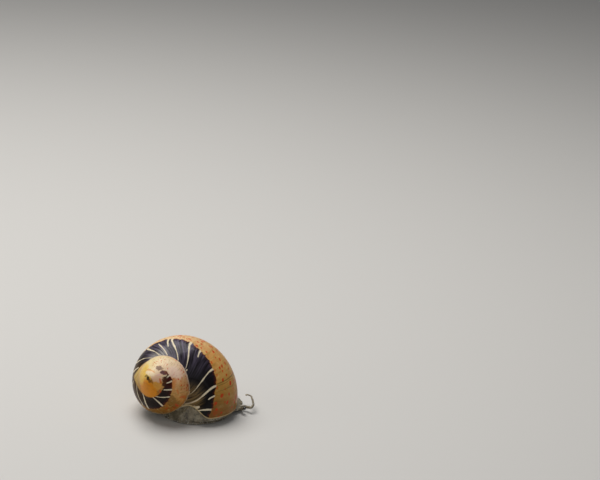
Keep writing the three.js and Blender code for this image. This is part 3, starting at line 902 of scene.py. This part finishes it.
# %% The worn spire
WORN_PATCHES = [
    # middle across and over the axis, half widths, turn in degrees, colour, strength
    ((2.95, -0.20), (0.45, 1.20), -6, (216, 130, 58), 0.55),
    ((2.75, 1.75), (1.10, 0.70), -30, (240, 210, 192), 0.6),
    ((3.10, -2.70), (1.30, 0.80), -40, (92, 64, 14), 0.55),
    ((-0.55, -1.90), (1.75, 1.35), 0, (222, 138, 10), 0.88),
    ((-2.00, 0.20), (0.80, 1.60), 0, (232, 190, 74), 0.7),
    ((1.20, -0.80), (0.55, 0.80), 0, (226, 160, 62), 0.7),
    ((-0.50, 1.02), (0.90, 0.20), -4, (220, 140, 66), 0.6),
    ((0.95, 0.15), (0.75, 0.60), 0, (224, 184, 152), 0.85),
    ((-0.45, 0.62), (0.95, 0.38), -4, (236, 214, 176), 0.95),
    ((1.52, -0.10), (0.14, 0.42), 20, (206, 84, 36), 0.7),
    ((1.05, 0.78), (0.30, 0.14), 30, (222, 178, 168), 0.8),
    ((-0.95, 0.05), (0.34, 0.16), 30, (104, 74, 30), 0.7),
    ((-0.40, -0.22), (0.40, 0.30), -30, (44, 34, 14), 0.95),
    ((-0.02, -0.55), (0.24, 0.30), 20, (92, 62, 20), 0.7),
    ((0.54, 1.80), (0.50, 0.34), -10, (106, 70, 50), 0.85),
    ((1.46, 1.28), (0.44, 0.34), -10, (92, 54, 60), 0.95),
    ((2.24, 0.40), (0.58, 0.54), 25, (54, 18, 10), 0.95),
    ((2.34, -0.42), (0.62, 0.40), 8, (64, 26, 14), 0.95),
    ((1.78, 0.80), (0.48, 0.10), 38, (212, 196, 160), 0.85),
    ((1.62, -1.70), (0.10, 0.30), 0, (206, 70, 24), 0.7),
    ((4.55, 0.20), (0.10, 0.36), 20, (176, 58, 34), 0.7),
    ((4.40, -1.55), (0.14, 0.44), -40, (198, 82, 28), 0.65),
    ((3.85, -1.00), (0.12, 0.40), 20, (206, 106, 40), 0.6),
    ((3.60, -3.20), (0.14, 0.26), 0, (198, 64, 24), 0.7),
]


def from_apex(tree):
    """Millimetres from the apex: across the axis, over it and along it."""
    basis = Matrix([ACROSS_AXIS, OVER_AXIS, AXIS_UP]).transposed()
    inputs = {"Vector": position(tree), "Location": (APEX + UNDER_APEX) * MM,
              "Rotation": basis.to_euler(), "Scale": (MM, MM, MM)}
    return new_node(tree, "Mapping", "Vector", inputs, vector_type="TEXTURE")


def patch_mask(spot, middle, half_widths, turn):
    """1 inside an oval patch, 0 outside, ragged at the edge; small ones less so."""
    shift = 0.9 * min(0.4, *half_widths)
    inputs = {"Vector": shaken(spot, 2.4, shift), "Location": (middle[0] + shift, middle[1] + shift, 0),
              "Rotation": (0, 0, math.radians(turn)), "Scale": (*half_widths, 1000)}
    from_middle = new_node(spot.tree, "Mapping", "Vector", inputs, vector_type="TEXTURE")
    return step(length(from_middle), 1.25, 0.8)


def worn_spire(tone, spot):
    on_spire = step(part(spot, "Z"), -7.5, -6.0)
    for middle, half_widths, turn, shade, strength in WORN_PATCHES:
        mask = patch_mask(spot, middle, half_widths, turn) * on_spire
        tone = mix(mask * strength, tone, colour(*shade))
    return tone


# %% [markdown]
# The dark band and the glaze
#
# The band is purple-black, maroon on the older whorls and red-brown at the frayed outer ends of its
# blocks; cream lines part them. On its top a violet-grey sheen is painted in, a painted highlight
# where the band would reflect the light above. Each is a mask from the distances on the corners,
# roughened by noise that is long across growth. The glaze of the shell is a light coat over a
# half-gloss ground, and fine growth lines catch the light as bump.

# %% The dark band and the glaze
# The first colour is a painted highlight: the violet-grey sheen on the top of the dark band.
PAINTED_SHEEN_VIOLET = colour(122, 112, 136)
RED_BROWN = colour(104, 34, 12)
CREAM = colour(224, 210, 180)
HAZE = colour(186, 182, 170)
CALLUS_TAN = colour(150, 122, 74)
SUTURE_PINK = colour(226, 196, 172)
RIM_PALE = colour(206, 184, 136)
PORCELAIN = colour(222, 208, 180)
DUSTY_TAN = colour(166, 100, 28)


def pale_lines(tree, fine):
    """1 on the pale lines: where the distance to a line's middle is less than its half width.
    They stop just short of the suture."""
    uneven = noise(position(tree), 900.0) * 0.045 + fine * 0.03
    mask = 0.0
    for number in (0, 1):
        inside = stored(tree, f"line_half_{number}") - abs(stored(tree, f"line_{number}")) + uneven
        mask = step(inside, -0.05, 0.03).math("MAXIMUM", mask)
    return mask * step(stored(tree, "seam"), 0.10, 0.30)


# The band's dark along the turns: maroon on the oldest whorl and near black below it. The lighter brown
# at turns -0.62 to -0.52 is partly the shell's colour and partly painted rim light, and the faint violet
# at the top goes with the painted sheen.
def dark_tone(turn):
    return ramp(turn, [
        (-1.15, 84, 36, 40), (-0.98, 58, 16, 8), (-0.88, 22, 4, 2), (-0.74, 24, 8, 1),
        (-0.62, 60, 36, 10), (-0.52, 84, 58, 24), (-0.43, 40, 32, 26), (-0.34, 36, 32, 38),
        (-0.16, 26, 22, 28), (-0.03, 18, 14, 15), (0.15, 8, 5, 3)])


def shell_pattern(tree):
    turn, angle = stored(tree, "turn"), stored(tree, "angle")
    growth = growth_place(tree)
    spot = from_apex(tree)
    off_axis = length(scaled(spot, (1, 1, 0)))
    glazed = step(off_axis, 2.2, 3.6)
    streaks = noise(scaled(growth, (1.0, 0.10, 1.0)), 3.2, 3.0) * glazed
    teeth = noise(scaled(growth, (1.0, 0.16, 1.0)), 0.9, 3.0, 0.6)
    chalk = noise(position(tree), 1300.0, 4.0, 0.65)
    fine = mix(glazed, chalk, noise(scaled(growth, (1.0, 0.35, 1.0)), 2.6), "FLOAT")

    tone = ground_tone(turn, growth, streaks)
    outer_zone = step(stored(tree, "band"), 0.1, -0.4)
    large = fleck_mask(growth, 0.55, 0.18, 0.26) * step(turn, 0.02, 0.10)
    flecks = fleck_mask(growth, 0.92, 0.15, 0.18).math("MAXIMUM", large)
    crowd = noise(position(tree), 420.0, 1.0) + step(turn, -0.5, -0.2) * 0.9
    tone = mix(flecks * outer_zone * step(crowd, -0.2, 0.2), tone, FLECK_RED)
    tone = mix(halt_mask(growth, fine) * outer_zone * 0.7, tone, HALT_GREEN)
    tone = worn_spire(tone, spot)
    dusty = step(off_axis, 3.4, 2.0) * step(chalk, 0.0, 1.0)
    tone = mix(dusty * 0.5, tone, DUSTY_TAN)

    reach = step(turn, -1.0, -0.2) * 0.20 + 0.08
    band = teeth * reach + stored(tree, "band") + streaks * 0.10
    top = stored(tree, "band_top") + fine * 0.08
    in_band = step(band, -0.05, 0.07) * step(top, -0.12, 0.16) * step(off_axis, 2.1, 2.4)
    # Painted highlight: a violet-grey sheen painted on the top of the band, streaked along growth.
    painted_sheen = step(turn, -0.02, -0.24) * step(turn, -0.46, -0.34) * step(streaks, -0.7, 1.2)
    dark = mix(painted_sheen * 0.8, dark_tone(turn), PAINTED_SHEEN_VIOLET)
    haze = step(turn, -0.40, -0.33) * step(turn, -0.24, -0.29) * step(angle, 54, 72)
    dark = mix(haze * step(streaks, -0.8, 0.8) * 0.75, dark, HAZE)
    reddish_end = step(band, 0.55, 0.0) * step(fine, -0.5, 0.6)
    dark = mix(reddish_end * 0.75, dark, RED_BROWN)
    tone = mix(in_band, tone, mix(pale_lines(tree, fine), dark, CREAM))

    seam = step(stored(tree, "seam") + fine * 0.03, 0.15, 0.03) * step(off_axis, 3.0, 3.8)
    tone = mix(seam * 0.8, tone, SUTURE_PINK)
    callus = step(turn, -0.05, 0.03) * step(angle, 50, 66) * step(streaks, -0.6, 0.5)
    tone = mix(callus * 0.8, tone, CALLUS_TAN)
    rim = step(stored(tree, "rim") + fine * 0.03, 0.24, 0.10)
    tone = mix(rim * 0.85, tone, RIM_PALE)
    return {"Base Color": mix(stored(tree, "cut"), tone, PORCELAIN),
            "Roughness": streaks * 0.04 + 0.36,
            "Normal": bump(streaks * 0.7 + fine, 0.00003, 0.5)}


shell.data.materials.clear()
shell.data.materials.append(patterned("nerite_shell_finish", shell_pattern, {
    "Specular IOR Level": 0.08, "Coat Weight": 0.16, "Coat Roughness": 0.10}))

# %% [markdown]
# The skin
#
# All the soft parts of a snail are one skin: the sole, the body that goes up into the shell, the
# head and its feelers. The solid model parts them in named lengths; here they are grown together.
# The foot, the head and the feelers are surfaces of rings along a path, and the neck fills the
# room inside the shell. A voxel remesh joins them without a seam, and smoothing rounds the folds
# between them. The remesh can't make voxels this small in metres, so it works in millimetres.

# %% Rings along a path
SQUARENESS = 2.4


def rounded_rings(stations, middle_y, steps, sides):
    """Rings across +X through stations (x, height, half height, half width), eased between
    them with a curve; each ring is a rounded box, its sine and cosine raised to 2/SQUARENESS."""
    stations = np.array(stations, float)
    knots = np.linspace(0, 1, len(stations))
    way = np.linspace(0, 1, steps)
    x, z, tall, wide = (smooth_curve(knots, stations[:, k], way)[:, None] for k in range(4))
    turn = full_turn(sides)
    c, s = (np.sign(wave) * np.abs(wave) ** (2 / SQUARENESS) for wave in (np.cos(turn), np.sin(turn)))
    return np.stack([x + 0 * c, middle_y + wide * c, z + tall * s], -1)


def smooth_curve(knots, values, at):
    """A cubic curve through values at knots, with slopes from the neighbours."""
    slopes = np.gradient(values, knots)
    span = np.clip(np.searchsorted(knots, at, side="right") - 1, 0, len(knots) - 2)
    width = knots[span + 1] - knots[span]
    u = (at - knots[span]) / width
    h00, h10 = 2 * u**3 - 3 * u**2 + 1, u**3 - 2 * u**2 + u
    h01, h11 = 3 * u**2 - 2 * u**3, u**3 - u**2
    return (h00 * values[span] + h10 * width * slopes[span]
            + h01 * values[span + 1] + h11 * width * slopes[span + 1])


def thread_rings(route, radii, steps, sides):
    """Rings across a curve through the route's points, with the radius eased through radii."""
    route = np.array(route, float)
    knots = np.concatenate([[0], np.cumsum(np.linalg.norm(np.diff(route, axis=0), axis=1))])
    way = np.linspace(0, knots[-1], steps)
    path = np.stack([smooth_curve(knots, route[:, k], way) for k in range(3)], -1)
    radius = np.interp(way / knots[-1], np.linspace(0, 1, len(radii)), radii)
    return rings_along(path, radius, sides, [0.0, 0.0, 1.0])


# %% [markdown]
# The foot and the head
#
# The sole spreads to a thin, slightly wavy margin. The head is broad and flat under the lip of
# the shell and ends in a short two-lobed snout. The feelers are long threads, one curled up at
# the animal's right, and the eyes sit on short stalks outside their roots.

# %% The foot and the head
SOLE_MIDDLE = np.array([10.5, 5.1])
SOLE_HALF = np.array([5.85, 5.5])
SOLE_PROFILE = [(0.0, 0.97), (0.06, 0.992), (0.16, 1.0), (0.3, 0.985), (0.5, 0.945), (0.75, 0.895),
                (1.0, 0.845), (1.3, 0.80)]
HEAD_Y = 5.2
HEAD_STATIONS = [(13.2, 3.0, 0.75, 1.9), (14.0, 2.2, 0.85, 2.3), (14.8, 1.3, 0.7, 2.6),
                 (15.5, 0.78, 0.5, 2.8), (16.2, 0.68, 0.42, 2.95), (16.9, 0.7, 0.44, 2.95),
                 (17.35, 0.7, 0.48, 2.6), (17.65, 0.7, 0.5, 1.75), (17.95, 0.68, 0.5, 1.3),
                 (18.25, 0.66, 0.48, 1.2), (18.48, 0.62, 0.4, 0.98), (18.6, 0.6, 0.22, 0.6)]
INSIDE_HEAD_X, ROOT_X, ROOT_Z = 16.9, 17.7, 0.72
FEELER_ROOT_Y = 1.72
STALK_ROOT_Y = 2.62
FEELER_RADII = (0.34, 0.28, 0.24, 0.21, 0.18, 0.155, 0.13)
STALK_RADII = (0.42, 0.36, 0.28, 0.25)
RIGHT_FEELER = [(18.35, 3.2, 0.76), (18.85, 2.55, 0.85), (19.2, 2.1, 1.0), (19.55, 2.3, 1.2),
                (19.85, 3.1, 1.45), (20.05, 4.1, 1.6), (20.0, 4.85, 1.75), (19.65, 5.2, 1.85),
                (19.25, 4.9, 1.85)]
LEFT_FEELER = [(18.35, 7.25, 0.76), (18.8, 8.05, 0.84), (18.85, 9.0, 0.95), (18.55, 10.0, 1.05),
               (17.95, 10.9, 1.1), (17.25, 11.6, 1.1)]
STALK_AIM = np.array([0.2, 0.85, 0.42])
STALK_LENGTH = 0.55
EYE_RADIUS = 0.26
EYE_GAP = 0.12


def sole_rings():
    """The foot's outline at each height: an oval whose edge waves a little, most at the floor."""
    turn = full_turn(128)
    height, share = np.array(SOLE_PROFILE).T[:, :, None]
    wave = 1 + (0.012 * np.sin(5 * turn) + 0.005 * np.sin(13 * turn + 1)) * (1 - height / 2)
    return np.stack([SOLE_MIDDLE[0] + SOLE_HALF[0] * share * wave * np.cos(turn),
                     SOLE_MIDDLE[1] + SOLE_HALF[1] * share * wave * np.sin(turn),
                     height + 0 * turn], -1)


def eye_place(side):
    """Where a stalk ends and where its eye sits."""
    aim = STALK_AIM * [1, side, 1]
    aim = aim / np.linalg.norm(aim)
    root = np.array([ROOT_X, HEAD_Y + side * STALK_ROOT_Y, ROOT_Z])
    return root, aim, root + aim * (STALK_LENGTH + EYE_RADIUS + EYE_GAP)


head = rounded_rings(HEAD_STATIONS, HEAD_Y, steps=60, sides=64)
skin_parts = [loft_surface(sole_rings()), loft_surface(head)]
for side, route in ((-1, RIGHT_FEELER), (1, LEFT_FEELER)):
    inside = (INSIDE_HEAD_X, HEAD_Y + side * (FEELER_ROOT_Y - 0.1), ROOT_Z)
    root = (ROOT_X, HEAD_Y + side * FEELER_ROOT_Y, ROOT_Z)
    skin_parts.append(loft_surface(thread_rings([inside, root, *route], FEELER_RADII, 90, 20)))
    root, aim, eye = eye_place(side)
    stalk = [root - aim * 0.9, root - aim * 0.2, root + aim * 0.3, eye - aim * 0.12]
    skin_parts.append(loft_surface(thread_rings(stalk, STALK_RADII, 24, 20)))
print(len(skin_parts), "skin parts,", sum(len(points) for points, _ in skin_parts), "points")

# %% [markdown]
# Growing the skin together
#
# The neck that joins the foot to the body in the shell is the room of the mouth again, made a
# little smaller. After the remesh the surface is smoothed, and then the mouth is pressed in: a
# line across the snout and a short cleft over it.

# %% Growing the skin together
VOXEL = 0.078
MOUTH_X, MOUTH_Z, MOUTH_LENGTH = 18.1, 0.46, 0.3
LINE_DEPTH, CLEFT_DEPTH, LOBES_OUT = 0.16, 0.14, 0.10
NECK_SLACK = 0.025
NECK_BOTTOM = 0.7
NECK_SHORTER = 0.4
FLESH_NODES = ["mantle", "foot_rear", "foot_middle", "foot_front", "head", "snout",
               "tentacle_right_base", "tentacle_right_tip", "tentacle_left_base",
               "tentacle_left_tip", "eye_stalk_right", "eye_stalk_left"]


def neck_part():
    """Points in millimetres and faces of the neck."""
    room = front_room("neck_room", NECK_BOTTOM, LIP_CLEARANCE + RECESS_HEIGHT - NECK_SHORTER)
    neck = mouth_room("neck", NECK_SLACK, [room])
    points = read_places(neck.data.vertices) / MM - UNDER_APEX
    faces = [list(face.vertices) for face in neck.data.polygons]
    bpy.data.objects.remove(neck)
    return points, faces


def remeshed(name, parts, voxel, rounds):
    """One closed mesh in millimetres from overlapping closed parts."""
    points, faces, shift = [], [], 0
    for part_points, part_faces in parts:
        points.append(part_points)
        faces += [[index + shift for index in face] for face in part_faces]
        shift += len(part_points)
    mesh = bpy.data.meshes.new(name)
    mesh.from_pydata(np.concatenate(points).tolist(), [], faces)
    piece = link(bpy.data.objects.new(name, mesh))
    remesh = piece.modifiers.new("voxels", "REMESH")
    remesh.mode = "VOXEL"
    remesh.voxel_size = voxel
    smooth = piece.modifiers.new("smooth", "SMOOTH")
    smooth.factor = 0.5
    smooth.iterations = rounds
    apply_modifiers(piece)
    return piece


def press_mouth(points):
    """Presses the mouth into the snout: a line at MOUTH_Z that drops to its ends, and a cleft."""
    x, y, z = points[:, 0], points[:, 1] - HEAD_Y, points[:, 2]
    front = ease((x - MOUTH_X) / MOUTH_LENGTH)
    line = np.exp(-((z - MOUTH_Z + 0.12 * y ** 2) / 0.07) ** 2) * (np.abs(y) < 0.95)
    cleft = np.exp(-(y / 0.10) ** 2) * ease((z - MOUTH_Z) / 0.2)
    lobes = np.exp(-((np.abs(y) - 0.5) / 0.35) ** 2) * ease((z - 0.3) / 0.3)
    points[:, 0] = x + front * (LOBES_OUT * lobes - LINE_DEPTH * line - CLEFT_DEPTH * cleft)
    return points


skin = remeshed("snail_skin", [*skin_parts, neck_part()], VOXEL, rounds=8)
skin_points = press_mouth(read_places(skin.data.vertices))
skin_points[:, 2] = np.maximum(skin_points[:, 2], 0.0)
move_points(skin.data, skin_points)
skin.data.shade_smooth()

# %% [markdown]
# The finish of the skin
#
# The skin is wet and grey, a little translucent, with black streaks and fine pale specks that
# crowd at the margin of the foot. The specks are scattered cells; the streaks are stretched
# noise.

# %% The finish of the skin
def skin_pattern(tree):
    place = position(tree)
    mottle = noise(place, 900.0, 4.0, 0.6)
    streaks = noise(scaled(place, (2600, 700, 1400)), 1.0, 3.0, 0.65)
    wrinkles = noise(scaled(place, (1300, 2600, 1800)), 1.0)
    tone = mix(step(mottle, -0.9, 0.9), colour(102, 94, 78), colour(158, 148, 124))
    tone = mix(step(streaks, 0.05, 0.8) * 0.75, tone, colour(36, 33, 30))
    from_speck = new_node(tree, "TexVoronoi", "Distance", {"Vector": place, "Scale": 4200.0})
    crowd = step(part(place, "Z"), 0.0011, 0.0002) * 1.1 + mottle
    specks = step(from_speck, 0.36, 0.14) * step(crowd, 0.2, 0.9)
    return {"Base Color": mix(specks * 0.85, tone, colour(226, 222, 208)),
            "Normal": bump(mottle * 0.5 + wrinkles, 0.00006, 0.6)}


skin.data.materials.append(patterned("snail_skin_finish", skin_pattern, {
    "Roughness": 0.42, "Subsurface Weight": 0.15, "Subsurface Radius": (0.0006, 0.0004, 0.0003),
    "Subsurface Scale": 1.0, "Coat Weight": 0.25, "Coat Roughness": 0.2}))
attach(skin, "root")
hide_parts(*FLESH_NODES)

# %% [markdown]
# The eyes and the operculum
#
# Each eye is a black bead in the end of its stalk. The operculum, the plate that shuts the
# shell, keeps its solid's shape and gets the smooth grey-brown finish of the real, chalky plate.

# %% The eyes and the operculum
def eye_bead(name, centre):
    """A ball: rings of latitude, with a point at each pole."""
    up = np.linspace(-np.pi / 2, np.pi / 2, 26)[1:-1, None]
    turn = full_turn(48)
    rings = np.stack([np.cos(up) * np.cos(turn), np.cos(up) * np.sin(turn), np.sin(up) + 0 * turn], -1)
    points, faces = loft_surface(rings)
    points[-2:] = [[0, 0, -1], [0, 0, 1]]
    return new_piece(name, centre + points * EYE_RADIUS, faces)


def eye_pattern(tree):
    cloud = step(noise(position(tree), 5000.0), -0.4, 1.2)
    return {"Base Color": mix(cloud, colour(8, 7, 8), colour(34, 25, 18))}


def plate_pattern(tree):
    cloud = noise(position(tree), 500.0, 3.0)
    tone = mix(step(cloud, -1.0, 1.0), colour(104, 92, 76), colour(150, 136, 112))
    return {"Base Color": tone, "Normal": bump(cloud, 0.00003, 0.3)}


black = patterned("eye_finish", eye_pattern, {"Roughness": 0.08, "Coat Weight": 1.0})
for side, name in ((-1, "right"), (1, "left")):
    bead = eye_bead("eye_bead_" + name, eye_place(side)[2])
    bead.data.materials.append(black)
    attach(bead, "root")
    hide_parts("eye_" + name)

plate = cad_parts["operculum"]
plate.data.materials.clear()
plate.data.materials.append(patterned("operculum_finish", plate_pattern, {"Roughness": 0.3}))
